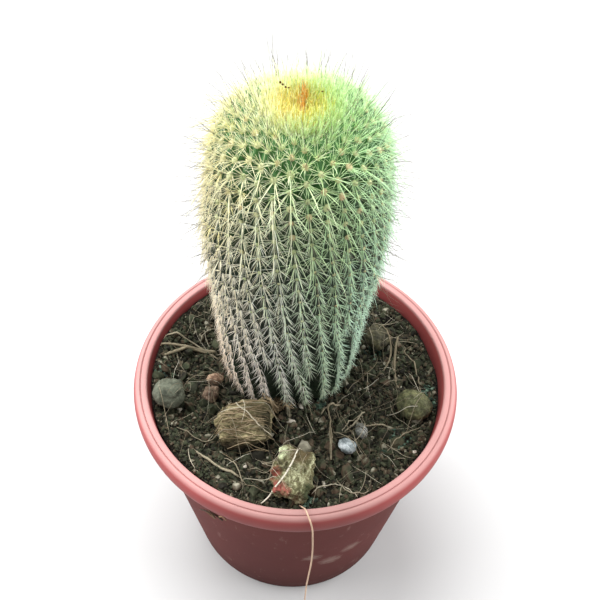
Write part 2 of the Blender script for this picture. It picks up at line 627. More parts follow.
def add_object(name, vertices, faces, material, smooth=True, maps=None):
    """Makes a piece. Its maps are each corner's place in the palette."""
    mesh = bpy.data.meshes.new(name)
    mesh.from_pydata(vertices, [], faces)
    if smooth:
        mesh.shade_smooth()
    if maps is not None:
        layer = mesh.uv_layers.new(name="OFBake")
        layer.data.foreach_set("uv", maps.astype(np.float32).ravel())
    return link_object(name, mesh, material)


def add_shape(name, shape, material=None):
    """Makes a piece from a bmesh."""
    mesh = bpy.data.meshes.new(name)
    shape.to_mesh(mesh)
    shape.free()
    return link_object(name, mesh, material)


def apply_modifiers(piece):
    graph = bpy.context.evaluated_depsgraph_get()
    piece.data = bpy.data.meshes.new_from_object(piece.evaluated_get(graph))
    piece.modifiers.clear()
    piece.data.name = piece.name


def dress(piece, slot, *replaced):
    """Rides on the body, takes a material slot's finish and stands for the CAD nodes named."""
    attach(piece, "root")
    if replaced:
        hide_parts(*replaced)


def unit(vectors):
    return vectors / np.maximum(np.linalg.norm(vectors, axis=-1, keepdims=True), 1e-12)


def ring_faces(rings, size, flip=False):
    """Faces between closed rings of points."""
    faces = []
    for start in range(0, rings * size, size):
        for i in range(size):
            j = (i + 1) % size
            face = (start + i, start + j, start + size + j, start + size + i)
            faces.append(face[:1] + face[:0:-1] if flip else face)
    return faces


def repeated(faces, size, count):
    """The triangles of one form of size points, for as many such forms one after another."""
    starts = np.arange(count) * size
    return (faces[None] + starts[:, None, None]).reshape(-1, 3).tolist()


class Hairs:
    """Collects tapered, slightly bent tubes and makes them one mesh with a palette map."""

    SIDES = 3

    def __init__(self, segments, rows=()):
        self.segments = segments
        self.rows = list(rows)

    def add(self, root, way, length, thickness, bend, column, row):
        """Bend is how far the tip is moved, as a vector. Column and row are 0 to 1 in the palette."""
        self.rows.append((*root, *way, length, thickness, *bend, column, row))

    def corners(self):
        """The faces of one tube, and where their corners lie in a cell of the palette."""
        faces, maps = [], []
        rings = self.segments
        for side in range(self.SIDES):
            after = (side + 1) % self.SIDES
            low = 0.15 + 0.7 * side / self.SIDES
            high = 0.15 + 0.7 * (side + 1) / self.SIDES
            for ring in range(rings):
                a = ring * self.SIDES
                b = a + self.SIDES
                u = 0.06 + 0.88 * ring / rings
                v = 0.06 + 0.88 * (ring + 1) / rings
                if ring == rings - 1:
                    faces.append((a + side, a + after, b))
                    maps.append(((u, low), (u, high), (0.94, (low + high) / 2)))
                else:
                    faces += [(a + side, a + after, b + after), (a + side, b + after, b + side)]
                    maps += [((u, low), (u, high), (v, high)), ((u, low), (v, high), (v, low))]
        return np.array(faces), np.array(maps)

    def build(self, name, material, columns, rows):
        data = np.array(self.rows)
        count = len(data)
        root, way, length = data[:, 0:3], unit(data[:, 3:6]), data[:, 6:7]
        radius, bend = data[:, 7] / 2, data[:, 8:11]
        helper = np.where(np.abs(way[:, 2:3]) < 0.8, [[0.0, 0.0, 1.0]], [[1.0, 0.0, 0.0]])
        first = unit(np.cross(way, helper))
        second = np.cross(way, first)
        tip = self.segments * self.SIDES
        vertices = np.zeros((count, tip + 1, 3))
        for ring in range(self.segments):
            t = ring / self.segments
            centre = root + way * length * t + bend * t**2
            wide = (radius * (1.0 - t)**0.6)[:, None]
            for side in range(self.SIDES):
                angle = tau * side / self.SIDES
                across = first * cos(angle) + second * sin(angle)
                vertices[:, ring * self.SIDES + side] = centre + across * wide
        vertices[:, -1] = root + way * length + bend
        faces, maps = self.corners()
        all_faces = repeated(faces, tip + 1, count)
        cell = np.minimum(np.floor(data[:, 11:13] * [columns, rows]), [columns - 1, rows - 1])
        maps = (cell[:, None, None, :] + maps[None]) / np.array([columns, rows])
        return add_object(name, vertices.reshape(-1, 3).tolist(), all_faces, material, maps=maps)


class Balls:
    """Collects balls that are bent out of shape and makes them one mesh with a palette map."""

    def __init__(self, subdivisions):
        ball = bmesh.new()
        bmesh.ops.create_icosphere(ball, subdivisions=subdivisions, radius=1.0)
        self.shape = np.array([vert.co[:] for vert in ball.verts])
        self.faces = np.array([[vert.index for vert in face.verts] for face in ball.faces])
        ball.free()
        self.vertices, self.maps = [], []

    def add(self, vertices, maps):
        self.vertices.append(vertices)
        self.maps.append(maps)

    def build(self, name, material):
        faces = repeated(self.faces, len(self.shape), len(self.vertices))
        return add_object(name, np.concatenate(self.vertices).tolist(), faces, material,
                          maps=np.concatenate(self.maps))


class Strands:
    """Collects round tubes along free paths and makes them one mesh with a palette map."""

    def __init__(self, sides):
        self.sides = sides
        self.vertices, self.faces, self.maps = [], [], []

    def add(self, path, thickness, tone, taper=0.25):
        """Tone is the strand's place, 0 to 1, in the palette. Its ends narrow to the taper's share."""
        path = np.array(path)
        count = len(path)
        ways = unit(np.gradient(path, axis=0))
        side = unit(np.cross(ways[0], [0.31, 0.42, 0.85]))
        turns = [tau * step / self.sides for step in range(self.sides)]
        start = len(self.vertices)
        for index, (point, way) in enumerate(zip(path, ways)):
            side = side - way * np.dot(side, way)
            side = side / np.linalg.norm(side)
            other = np.cross(way, side)
            t = index / (count - 1)
            radius = thickness / 2 * (taper + (1.0 - taper) * sin(pi * (0.06 + 0.88 * t))**0.5)
            self.vertices += [point + (side * cos(turn) + other * sin(turn)) * radius for turn in turns]
        row = 0.02 + 0.92 * tone
        for index in range(count - 1):
            u = 0.03 + 0.94 * index / (count - 1)
            v = 0.03 + 0.94 * (index + 1) / (count - 1)
            for step in range(self.sides):
                a = start + index * self.sides + step
                b = start + index * self.sides + (step + 1) % self.sides
                low = row + 0.03 * step / self.sides
                high = low + 0.03 / self.sides
                self.faces.append((a, b, b + self.sides, a + self.sides))
                self.maps += [(u, low), (u, high), (v, high), (v, low)]
        for first, u in ((start, 0.01), (start + (count - 1) * self.sides, 0.98)):
            ring = [first + step for step in range(self.sides)]
            self.faces.append(ring if first != start else ring[::-1])
            self.maps += [(u + 0.01 * cos(turn), row + 0.015 + 0.01 * sin(turn)) for turn in turns]

    def build(self, name, material):
        return add_object(name, [tuple(vertex) for vertex in self.vertices], self.faces, material,
                          maps=np.array(self.maps))


# Stem

def stem_matrix():
    lean = Matrix.Rotation(LEAN_TO_VIEWER, 4, 'X') @ Matrix.Rotation(LEAN_TO_RIGHT, 4, 'Y')
    return Matrix.Translation(STEM_FOOT) @ lean


def dome_height(radius):
    """Height of the dome's skin above the stem's foot, with the dimple at its middle."""
    share = min(radius / DOME_RADIUS, 1.0) ** (1.0 / DOME_SQUARENESS)
    dimple = 1.0 - smoothstep(0.0, DIMPLE_RADIUS, radius)
    return DOME_FOOT + DOME_HEIGHT * sqrt(1.0 - share**2) - DIMPLE_DEPTH * dimple


def stem_profile(part):
    """Crest radius and height of the skin: part 0 to 1 up the side, 1 to 2 over the dome."""
    if part <= 1.0:
        height = part * DOME_FOOT
        return smooth_curve(STEM_OUTLINE_MM, height / MM) * MM, height
    radius = DOME_RADIUS * cos((part - 1.0) * pi / 2) ** DOME_SQUARENESS
    return radius, dome_height(radius)


def rib_angles(height):
    """For each rib: the angle of its valley, the angle of its crest and its width."""
    rows = []
    groups = RIB_COUNT // RIBS_PER_GROUP
    for group in range(groups):
        start = RIB_SPLIT_START + RIB_SPLIT_SPREAD * (group * GOLDEN_SHARE % 1.0)
        grown = smoothstep(start, start + RIB_SPLIT_LENGTH, height)
        widths = [1.0] * (RIBS_PER_GROUP - 1) + [RIB_SEED_WIDTH + (1.0 - RIB_SEED_WIDTH) * grown]
        scale = tau / groups / sum(widths)
        angle = RIB_TURN + RIB_TWIST * height + tau * group / groups
        for width in widths:
            rows.append((angle, angle + width * scale / 2, width))
            angle += width * scale
    return rows


def rib_depth(radius, height):
    emerged = smoothstep(RIB_FADE_BELOW, RIB_FULL_ABOVE, height)
    return RIB_DEPTH * emerged * min(1.0, radius / RIB_FULL_RADIUS)


def make_skin(tubercles):
    """The ribbed body from below the soil to the dimple, with a low swelling under each areole."""
    parts = [-SKIN_BURIED / DOME_FOOT]
    parts += [ring / SKIN_SIDE_RINGS for ring in range(SKIN_SIDE_RINGS)]
    parts += [1.0 + DOME_END * sin(ring / SKIN_DOME_RINGS * pi / 2) for ring in range(SKIN_DOME_RINGS + 1)]
    world = stem_matrix()
    vertices = []
    for part in parts:
        radius, height = stem_profile(part)
        depth = rib_depth(radius, height)
        for rib, (valley, crest, width) in enumerate(rib_angles(height)):
            swell = tubercles(rib, part)
            for step in range(SKIN_POINTS_PER_RIB):
                t = step / SKIN_POINTS_PER_RIB
                angle = valley + 2 * (crest - valley) * t
                rise = sin(pi * t) ** 0.8
                out = radius - depth + depth * width * (rise * (0.86 + 0.2 * swell))
                vertices.append(tuple(world @ Vector((cos(angle) * out, sin(angle) * out, height))))
    size = RIB_COUNT * SKIN_POINTS_PER_RIB
    faces = ring_faces(len(parts) - 1, size)
    faces.append(tuple(range(len(vertices) - size, len(vertices))))
    dress(add_object("skin", vertices, faces, skin_material()), "cactus_skin", "cactus")


def place_areoles():
    """For each areole: rib, part of the profile, distance along the rib and the rib's width."""
    parts = np.arange(0.0, 2.0, PROFILE_STEP / 4)
    points = np.array([stem_profile(part) for part in parts])
    distances = np.concatenate([[0.0], np.cumsum(np.hypot(*np.diff(points, axis=0).T))])
    areoles = []
    for rib in range(RIB_COUNT):
        along = FIRST_AREOLE
        if rib % 2:
            along += 0.5 * stage_value(AREOLE_SPACING, along) * MM
        while along < distances[-1]:
            part = float(np.interp(along, distances, parts))
            radius, height = stem_profile(part)
            if radius < AREOLE_LAST_RADIUS:
                break
            width = rib_angles(height)[rib][2]
            if width > RIB_BARE_BELOW:
                areoles.append((rib, part, along, width))
            along += stage_value(AREOLE_SPACING, along) * MM
    return areoles


def tubercle_shape(areoles):
    """Reads how far the skin swells at a part of a rib."""
    by_rib = {}
    for rib, part, along, width in areoles:
        by_rib.setdefault(rib, []).append(part)

    def swell(rib, part):
        parts = by_rib.get(rib)
        if not parts or part < parts[0] or part > parts[-1]:
            return 0.5
        index = int(np.searchsorted(parts, part))
        low = parts[index - 1]
        high = parts[min(index, len(parts) - 1)]
        if high <= low:
            return 0.5
        return 0.5 + 0.5 * cos(tau * (part - low) / (high - low))

    return swell


def crest_frame(rib, part, width):
    """A point on a rib's crest, with its outward, downward and sideways directions, in the part's frame."""
    radius, height = stem_profile(part)
    sunk = rib_depth(radius, height) * (1.0 - width)
    ahead_radius, ahead_height = stem_profile(part + 2 * PROFILE_STEP)
    climb = ahead_height - height
    rise = Vector((ahead_radius - radius, radius * RIB_TWIST * climb, climb)).normalized()
    turn = Matrix.Rotation(rib_angles(height)[rib][1], 3, 'Z')
    world = stem_matrix()
    lean = world.to_3x3()
    up = lean @ (turn @ rise)
    out = (lean @ (turn @ Vector((0.0, 1.0, 0.0)))).cross(up).normalized()
    point = world @ (turn @ Vector((radius - sunk, 0.0, height)))
    return np.array(point), np.array(out), np.array(-up), np.array(up.cross(out))


def tint_share(point, chance):
    """0 at the stem's left side, 1 at its right, with a little scatter."""
    share = 0.5 + 0.5 * (point[0] - STEM_FOOT.x) / STEM_WIDEST_RADIUS
    return min(max(share + chance.normal(0.0, 0.07), 0.0), 0.999)


def zone_share(along, chance):
    """0 at the soil and 6/9 by the crown, with a little scatter."""
    return min(max(stage_value(ZONE_SHARE, along) + chance.normal(0.0, 0.03), 0.0), 0.66)


def is_bare(point, along):
    """Whether an areole at the stem's foot has lost its spines."""
    in_front = BARE_FOOT_LEFT < point[0] < BARE_FOOT_RIGHT and point[1] < STEM_FOOT.y
    return in_front and along < BARE_FOOT_UP_TO


def make_spines(areoles, spine):
    """Radial spines in a fan, longer central ones that hang down, and wispy hairs."""
    chance = np.random.default_rng(21)
    radials, centrals, hairs = Hairs(2), Hairs(4), Hairs(4)
    upright = np.array(stem_matrix().to_3x3() @ UP)
    for rib, part, along, width in areoles:
        point, out, down, side = crest_frame(rib, part, width)
        if is_bare(point, along):
            continue
        root = point - out * SPINE_SUNK
        mm = along / MM
        upward = UPRIGHT_SHARE * smoothstep(UPRIGHT_FROM, UPRIGHT_TO, mm)

        def at(stages):
            return stage_value(stages, along)

        def fan_way(lift, turn):
            """A direction lifted off the skin, turned from straight down along the rib."""
            return (down * cos(turn) + side * sin(turn)) * cos(lift) + out * sin(lift)

        def steer(way):
            """Bends a direction towards upright near the crown, and lets it wander."""
            blended = way * (1.0 - upward) + (out * 0.45 + upright * 0.9) * upward
            blended = blended + chance.normal(0.0, at(WANDER), 3)
            return blended / np.linalg.norm(blended)

        honey = tint_share(point, chance) < HONEY_SIDE and mm > HONEY_FROM and chance.random() < HONEY_CHANCE
        count = round(at(RADIAL_COUNT) * (0.6 + 0.4 * smoothstep(RIB_BARE_BELOW, 1.0, width)))
        for index in range(count):
            share = (index + 0.5 + chance.uniform(-0.35, 0.35)) / count
            turn = radians(at(RADIAL_FAN)) * (2 * share - 1)
            lift = radians(at(RADIAL_LIFT) + chance.normal(0.0, 6.0))
            length = at(RADIAL_LENGTH) * MM * chance.uniform(0.75, 1.15)
            way = steer(fan_way(lift, turn))
            bend = (down * 0.08 - out * 0.05) * length * (1.0 - upward)
            start = root + (side * sin(turn) + down * cos(turn)) * RADIAL_RING
            zone = LEMON_ROW if honey else zone_share(along, chance)
            thickness = at(RADIAL_WIDTH) * MM * chance.uniform(0.8, 1.2)
            radials.add(start, way, length, thickness, bend, tint_share(point, chance), zone)
        for index in range(round(at(CENTRAL_COUNT) + chance.uniform(-0.5, 0.5))):
            turn = radians(chance.normal(0.0, at(CENTRAL_SPREAD)))
            lift = radians(at(CENTRAL_LIFT) + chance.normal(0.0, 9.0))
            length = at(CENTRAL_LENGTH) * MM * chance.uniform(0.6, 1.15)
            way = steer(fan_way(lift, turn))
            bend = (down * 0.10 - out * 0.12) * length * (1.0 - upward)
            bend = bend + side * chance.normal(0.0, 0.06) * length
            centrals.add(root, way, length, CENTRAL_WIDTH * chance.uniform(0.7, 1.15), bend,
                         tint_share(point, chance), zone_share(along, chance))
        if mm <= HAIRS_FROM:
            continue
        for index in range(round(HAIRS_PER_AREOLE + chance.uniform(-0.5, 0.5))):
            way = fan_way(radians(chance.uniform(50.0, 88.0)), chance.normal(0.0, 0.9))
            way = way + upright * smoothstep(UPRIGHT_FROM - 15.0, UPRIGHT_TO, mm)
            length = HAIR_LENGTH * chance.uniform(0.7, 1.2)
            bend = (chance.normal(0.0, 0.12, 3) - upright * 0.06) * length
            hairs.add(root, way, length, HAIR_WIDTH, bend, 0.0, 0.0)
    for name, made in (("spines_1", Hairs(2, radials.rows[0::2])), ("spines_2", Hairs(2, radials.rows[1::2])),
                       ("spines_3", centrals)):
        dress(made.build(name, spine, TINTS, ZONES), "spine")
    dress(hairs.build("long_hairs", hair_material(), 1, 1), "spine")


def make_wool(areoles):
    """A felted tuft on each areole, under its spines, with loose fibres on the younger ones."""
    chance = np.random.default_rng(5)
    tufts, fuzz = Balls(2), Hairs(2)
    heights = 0.5 + 0.45 * tufts.shape[tufts.faces][:, :, 2]
    spread = 0.03 * np.array([[0.0, 0.5, 1.0]]) * np.ones((len(tufts.faces), 1))
    for rib, part, along, width in areoles:
        point, out, down, side = crest_frame(rib, part, width)
        half = stage_value(WOOL_SIZE, along) * MM / 2 * chance.uniform(0.8, 1.2)
        rough = tufts.shape * chance.uniform(0.8, 1.15, (len(tufts.shape), 1))
        local = rough * np.array([half, half * 1.15, half * 0.75])
        tone = 0.96 * chance.random()**1.6
        for index in range(FUZZ_FIBRES if along > FUZZ_FROM else 0):
            way = unit(out * 0.5 + chance.normal(0.0, 1.0, 3))
            way = way if np.dot(way, out) > 0.0 else -way
            fuzz.add(point + way * 0.6 * half, way, half * chance.uniform(0.7, 1.3), FUZZ_WIDTH,
                     chance.normal(0.0, 0.25, 3) * half, 0.0, tone)
        tufts.add(point + local[:, :1] * side + local[:, 1:2] * down + local[:, 2:] * out,
                  np.stack([heights, tone + spread], axis=2))
    wool = wool_material()
    dress(tufts.build("wool", wool), "spine")
    dress(fuzz.build("wool_fuzz", wool, 1, ZONES), "spine")


def dome_places(count, reach, sunk):
    """Places in a spiral over the dome: distance from its middle, the way out and the place itself."""
    world = stem_matrix()
    for index in range(count):
        radius = reach * sqrt((index + 0.5) / count)
        angle = index * GOLDEN_ANGLE
        out = Vector((cos(angle), sin(angle), 0.0))
        yield radius, out, world @ (out * radius + UP * (dome_height(radius) - sunk))


def make_crown(spine):
    """Lemon bristles that stand in the dimple, gold within and orange in the middle."""
    chance = np.random.default_rng(8)
    bristles = Hairs(3)
    lean = stem_matrix().to_3x3()
    for radius, out, root in dome_places(CROWN_BRISTLES, CROWN_REACH, 0.3 * MM):
        share = radius / CROWN_REACH
        spread = CROWN_SPREAD * share**4 - CROWN_LEAN_IN * (1.0 - share**4)
        way = np.array(lean @ (UP + out * spread)) + chance.normal(0.0, 0.10, 3)
        length = CROWN_BRISTLE_LENGTH * chance.uniform(0.6, 1.15)
        scatter = chance.uniform(0.75, 1.25)
        across = out.x * radius / CROWN_ORANGE_HALF_WIDTH
        back = (out.y * radius - CROWN_ORANGE_BACK) / CROWN_ORANGE_HALF_DEPTH
        if hypot(across, back) * scatter < 1.0:
            row = ORANGE_ROW
        else:
            row = GOLD_ROW if radius * scatter < CROWN_GOLD_RADIUS else LEMON_ROW
        bend = chance.normal(0.0, 0.05, 3) * length
        bristles.add(root, way, length, CROWN_BRISTLE_WIDTH, bend, tint_share(root, chance), row)
    dress(bristles.build("crown_bristles", spine, TINTS, ZONES), "crown_bristle", "crown")


def make_dome_bristles(spine):
    """Fine pale bristles between the areoles of the dome, more of them towards the crown."""
    chance = np.random.default_rng(31)
    bristles = Hairs(2)
    lean = stem_matrix().to_3x3()
    for radius, out, root in dome_places(DOME_BRISTLES, DOME_BRISTLE_REACH, 0.5 * MM):
        thinning = smoothstep(DOME_BRISTLE_THIN, 0.8 * DOME_BRISTLE_REACH, radius)
        if chance.random() < DOME_BRISTLE_MISSING * thinning:
            continue
        way = np.array(lean @ (UP + out * 0.7 * radius / DOME_BRISTLE_REACH)) + chance.normal(0.0, 0.22, 3)
        length = DOME_BRISTLE_LENGTH * chance.uniform(0.6, 1.2)
        row = LEMON_ROW if radius * chance.uniform(0.8, 1.2) < CROWN_GOLD_RADIUS else PALE_ROW
        bend = chance.normal(0.0, 0.06, 3) * length
        bristles.add(root, way, length, DOME_BRISTLE_WIDTH, bend, tint_share(root, chance), row)
    dress(bristles.build("dome_bristles", spine, TINTS, ZONES), "spine")


def make_crown_specks():
    """A few dark withered bits caught between the crown's bristles."""
    paint = Paint("withered bits", roughness=0.9, specular=0.1)
    tone = paint.ramp(paint.noise(paint.place(), 900.0), [(0.4, (58, 38, 20)), (0.6, (104, 70, 34))])
    shape = bmesh.new()
    for index, (x, y) in enumerate(CROWN_SPECKS_MM):
        height = dome_height(hypot(x, y) * MM) + 0.85 * CROWN_BRISTLE_LENGTH
        scale = Matrix.Diagonal((1.0, 0.6, 1.2 - 0.15 * index, 1.0))
        matrix = stem_matrix() @ Matrix.Translation(Vector((x * MM, y * MM, height))) @ scale
        bmesh.ops.create_icosphere(shape, subdivisions=1, radius=CROWN_SPECK_SIZE / 2, matrix=matrix)
    dress(add_shape("crown_specks", shape, paint.finish(tone)), "crown_bristle")


# Soil

def wall_inner_radius(height):
    return FOOT_RADIUS + (LIP_INNER_RADIUS + WALL - FOOT_RADIUS) * height / POT_HEIGHT - WALL


def tree_of(meshes):
    """What lies on top, from several meshes."""
    points, faces = [], []
    for mesh in meshes:
        start = len(points)
        points += [vert.co.copy() for vert in mesh.vertices]
        faces += [[start + index for index in face.vertices] for face in mesh.polygons]
    return BVHTree.FromPolygons(points, faces)


def ray_down(tree, x, y):
    hit = tree.ray_cast(Vector((x, y, POT_HEIGHT * 2)), Vector((0.0, 0.0, -1.0)))
    return hit[0].z if hit[0] is not None else SOIL_LEVEL


def soil_top(x, y):
    """Height of the soil, with its edges carried on to the wall and over the stem's hole."""
    away = Vector((x, y)) - STEM_FOOT.xy
    clear = STEM_FOOT_RADIUS + STEM_HOLE_MARGIN + 0.5 * MM
    place = STEM_FOOT.xy + away * max(1.0, clear / away.length)
    inside_wall = wall_inner_radius(SOIL_LEVEL) - 1.0 * MM
    return ray_down(soil_tree, *(place * min(1.0, inside_wall / place.length)))


def crumb_height(x, y):
    """Small lumps of the gritty mix on top of the solid's own form."""
    place = Vector((x, y, 0.0))
    return CRUMB_HEIGHT * (noise.noise(place / CRUMB_SIZE) + 0.5 * noise.noise(place / CRUMB_SIZE * 2.3))


def make_ground():
    """The crumbly surface between stem and wall, with the soil's body under it."""
    vertices = []
    wall = wall_inner_radius(SOIL_LEVEL) + 0.1 * MM
    inner = STEM_FOOT_RADIUS - 2.5 * MM
    for ring in range(GROUND_RINGS + 1):
        for step in range(GROUND_STEPS):
            angle = tau * step / GROUND_STEPS
            way = Vector((cos(angle), sin(angle)))
            along = STEM_FOOT.xy.dot(way)
            reach = sqrt(along**2 - STEM_FOOT.xy.length_squared + wall**2) - along
            x, y = STEM_FOOT.xy + way * (inner + (reach - inner) * (ring / GROUND_RINGS))
            vertices.append((x, y, soil_top(x, y) + crumb_height(x, y)))
    edge = vertices[-GROUND_STEPS:]
    for height in (SOIL_LEVEL / 2, FOOT_RING_HEIGHT + FLOOR_THICKNESS):
        radius = wall_inner_radius(height) - 0.3 * MM
        vertices += [(x * radius / hypot(x, y), y * radius / hypot(x, y), height) for x, y, z in edge]
    faces = ring_faces(GROUND_RINGS + 2, GROUND_STEPS, flip=True)
    faces.append(tuple(range(GROUND_STEPS - 1, -1, -1)))
    faces.append(tuple(range(len(vertices) - GROUND_STEPS, len(vertices))))
    dress(add_object("ground", vertices, faces, ground_material()), "gritty_mix", "soil")


def scatter_place(chance, near_wall):
    """A random place on the soil, clear of the stem and inside the pot."""
    while True:
        x, y = chance.uniform(-LIP_INNER_RADIUS, LIP_INNER_RADIUS, 2)
        if hypot(x, y) > wall_inner_radius(SOIL_LEVEL) - near_wall:
            continue
        if hypot(x - STEM_FOOT.x, y - STEM_FOOT.y) > STEM_FOOT_RADIUS + 0.5 * MM:
            return x, y


def make_grains():
    """Angular grains scattered on the soil, each with its own patch of the palette map."""
    grit = grit_material()
    for name, count, smallest, largest, seed, fineness in GRAINS:
        chance = np.random.default_rng(seed)
        grains = Balls(fineness)
        corners = grains.shape[grains.faces]
        flat = corners[:, :, :2] * 0.5 + 0.5 + 0.25 * corners[:, :, 2:]
        for index in range(count):
            size = (smallest + (largest - smallest) * chance.random()**2.2) * MM / 2
            x, y = scatter_place(chance, size)
            rough = grains.shape * chance.uniform(0.7, 1.2, (len(grains.shape), 1))
            rough = rough * chance.uniform(0.4, 1.35, 3) * size
            turn, _ = np.linalg.qr(chance.normal(size=(3, 3)))
            raised = size * GRAIN_SHOWING * chance.uniform(0.5, 1.2)
            place = np.array([x, y, soil_top(x, y) + crumb_height(x, y) + raised])
            grains.add(rough @ turn + place, chance.uniform(0.02, 0.9, 2) + 0.06 * np.clip(flat, 0.0, 1.3))
        piece = grains.build(name, grit)
        piece.data.set_sharp_from_angle(angle=radians(34))
        dress(piece, "gritty_mix")


def make_moss_bits():
    chance = np.random.default_rng(17)
    paint = Paint("moss bits", roughness=0.85, specular=0.25)
    tone = paint.ramp(paint.noise(paint.place(), 700.0, 3.0),
                      [(0.38, (30, 40, 34)), (0.52, (50, 70, 56)), (0.68, (118, 142, 124))])
    shape = bmesh.new()
    for x, y, strewn in MOSS_SPOTS:
        for index in range(MOSS_BITS_PER_SPOT):
            place = Vector((x, y)) * MM + Vector(chance.normal(0.0, strewn / 2, 2)) * MM
            if place.length > wall_inner_radius(SOIL_LEVEL) - 0.6 * MM:
                continue
            height = soil_top(*place) + chance.uniform(0.3, 0.9) * MM
            turn = Matrix.Rotation(chance.uniform(0.0, tau), 4, 'Z')
            turn = turn @ Matrix.Rotation(chance.uniform(0.0, 1.2), 4, 'X')
            scale = Matrix.Diagonal((chance.uniform(0.5, 1.6), chance.uniform(0.3, 0.8), 0.5, 1.0))
            matrix = Matrix.Translation((place.x, place.y, height)) @ turn @ scale
            bmesh.ops.create_icosphere(shape, subdivisions=1, radius=0.6 * MM, matrix=matrix)
    dress(add_shape("moss_bits", shape, paint.finish(tone)), "gritty_mix")


def make_chips():
    shape = bmesh.new()
    for x, y, length, width, turn in CHIPS:
        place = (x * MM, y * MM, soil_top(x * MM, y * MM) + 0.55 * MM)
        matrix = Matrix.Translation(place) @ Matrix.Rotation(radians(turn), 4, 'Z')
        matrix = matrix @ Matrix.Diagonal((length / 2, width / 2, width / 3, 1.0))
        bmesh.ops.create_icosphere(shape, subdivisions=3, radius=1.0 * MM, matrix=matrix)
    for vert in shape.verts:
        vert.co += Vector((1.0, 1.0, 0.6)) * 0.22 * MM * layered_noise(vert.co, 1.1 * MM)
    pale = stone_material("pale chips", ((112, 106, 92), (168, 160, 146), (222, 216, 204)), 0.3)
    dress(add_shape("chips", shape, pale), "pebble")


# Loose pieces on the soil

def inside(node, shares):
    """A place in a node's box, from shares of its width, depth and height."""
    low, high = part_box(node)
    return Vector([a + share * (b - a) for a, b, share in zip(low, high, shares)])


def finer_copy(node, name, material, relief):
    """A finer copy of a solid, rounded by subdivision, with relief(place) added along its normals."""
    shape = bmesh.new()
    shape.from_mesh(frame["nodes"][node].data)
    bmesh.ops.remove_doubles(shape, verts=shape.verts, dist=0.002 * MM)
    piece = add_shape(name, shape, material)
    piece.modifiers.new("rounding", 'SUBSURF').levels = ROUNDING_LEVELS
    apply_modifiers(piece)
    normals = [vert.normal.copy() for vert in piece.data.vertices]
    for vert, normal in zip(piece.data.vertices, normals):
        vert.co += normal * relief(vert.co)
    piece.data.shade_smooth()
    return piece


def lumpy(*layers):
    """A relief of noise in layers: height and size in mm."""
    return lambda place: sum(height * MM * layered_noise(place, size * MM) for height, size in layers)


def make_chunks():
    torn_corners = [inside("husk_chunk", shares) for shares in HUSK_TORN_CORNERS]

    def husk_relief(place):
        ridges = layered_noise(place, 1.1 * MM, (0.3, 1.0, 1.0))
        torn = layered_noise(place, 0.7 * MM, (0.6, 1.0, 1.0))
        lost = sum(max(0.0, 1.0 - (place - corner).length / (5.5 * MM)) for corner in torn_corners)
        swells = layered_noise(place, 4.4 * MM)
        return 0.5 * MM * ridges + 0.3 * MM * torn + 1.1 * MM * swells - 2.2 * MM * lost

    husk = husk_material("husk", ((62, 58, 40), (122, 114, 84), (178, 166, 130)), (0.16, 1.0, 1.0),
                         "husk_chunk", HUSK_SPOTS)
    bark = husk_material("bark", ((52, 52, 34), (114, 110, 80), (192, 194, 158)), (0.7, 0.45, 1.0),
                         "bark_chunk", BARK_SPOTS)
    dress(finer_copy("husk_chunk", "husk_torn", husk, husk_relief), "husk", "husk_chunk")
    dress(finer_copy("bark_chunk", "bark_torn", bark, lumpy((0.55, 0.9), (0.8, 3.2))), "bark", "bark_chunk")


def make_stones():
    reliefs = {"pebble": lumpy((0.42, 2.6), (0.10, 0.6)), "gritty_mix": lumpy((0.5, 2.2), (0.16, 0.7))}
    for node, name, slot, tones in STONES:
        stone = stone_material(name.replace("_", " "), tones)
        dress(finer_copy(node, name, stone, reliefs[slot]), slot, node)


def laid_path(places, tree, lift, arch=0.0):
    """Lays (x, y) places on what is below them, as stiffly as a dry stalk would lie."""
    ground = np.array([ray_down(tree, x, y) for x, y in places])
    heights = ground
    for smoothing in range(STALK_STIFFNESS):
        padded = np.pad(heights, 1, mode='edge')
        heights = np.maximum(ground, (padded[:-2] + padded[1:-1] + padded[2:]) / 3)
    rises = [arch * sin(pi * index / (len(heights) - 1)) for index in range(len(heights))]
    return [(x, y, height + lift + rise) for (x, y), height, rise in zip(places, heights, rises)]


def curve_places(start, middle, end, count, wobble, seed):
    """Places in metres along a bent line through three points in mm."""
    chance = np.random.default_rng(seed)
    places = []
    for index in range(count):
        t = index / (count - 1)
        x, y = ((1 - t)**2 * a + 2 * t * (1 - t) * (2 * b - (a + c) / 2) + t**2 * c
                for a, b, c in zip(start, middle, end))
        shift = chance.normal(0.0, wobble, 2)
        places.append(((x + shift[0]) * MM, (y + shift[1]) * MM))
    return places


def rootlet_places(chance):
    """A wandering line over the soil that ends at the stem or the wall."""
    x, y = scatter_place(chance, 2.0 * MM)
    heading = chance.uniform(0.0, tau)
    turn = chance.normal(0.0, 0.04)
    places = []
    for step in range(round(chance.uniform(7, 15))):
        at_stem = hypot(x - STEM_FOOT.x, y - STEM_FOOT.y) < STEM_FOOT_RADIUS + 1.0 * MM
        if at_stem or hypot(x, y) > LIP_INNER_RADIUS - 1.5 * MM:
            break
        places.append((x, y))
        turn += chance.normal(0.0, 0.035)
        heading += turn
        x += ROOTLET_STEP * cos(heading)
        y += ROOTLET_STEP * sin(heading)
    return places


